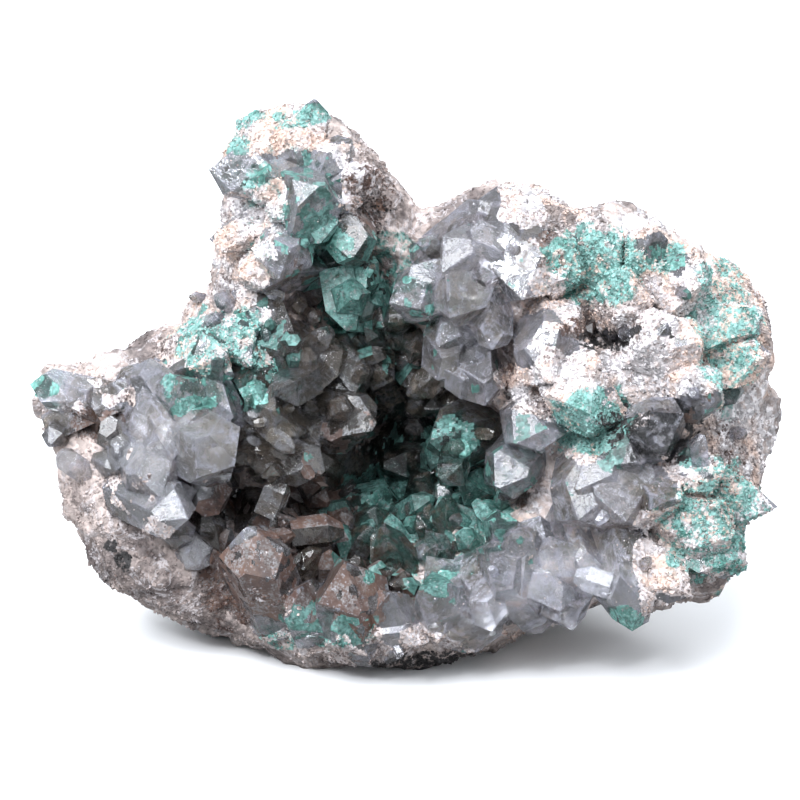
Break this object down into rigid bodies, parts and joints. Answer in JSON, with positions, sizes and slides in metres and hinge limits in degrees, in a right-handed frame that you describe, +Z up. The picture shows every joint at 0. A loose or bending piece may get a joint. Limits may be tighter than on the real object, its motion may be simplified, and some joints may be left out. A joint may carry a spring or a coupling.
{
  "type": "rough crystal specimen",
  "caption": "Loose hand specimen of host rock, broken open into a hollow lined with blocky clear crystals, partly coated green; stands on a flat break as a display piece",
  "frame": {"origin": "middle of the bottom of the whole specimen's box, on the surface it stands on", "axes": "+X runs along the specimen's longest way, to the right as the hollow is faced; the hollow looks out along -Y and a little up; +Z is up"},
  "size_m": [0.12, 0.0704, 0.089],
  "materials": {
    "host_rock": "rough and granular, pinkish grey, with green and rust stains",
    "coated_crystal": "crystal faces under a thin green and brown coating, half gloss",
    "clear_crystal": "smoky grey to lilac clear crystal, glassy, with white frosted edges"
  },
  "bodies": {
    "root": {"matrix": "host_rock", "hollow_crust": "coated_crystal", "pinnacle_crystals": "clear_crystal", "left_shoulder_crystals": "clear_crystal", "right_shoulder_crystals": "clear_crystal", "right_flank_crystals": "clear_crystal", "right_crest_crystals": "clear_crystal", "lower_lip_crystals": "clear_crystal"}
  },
  "joints": []
}
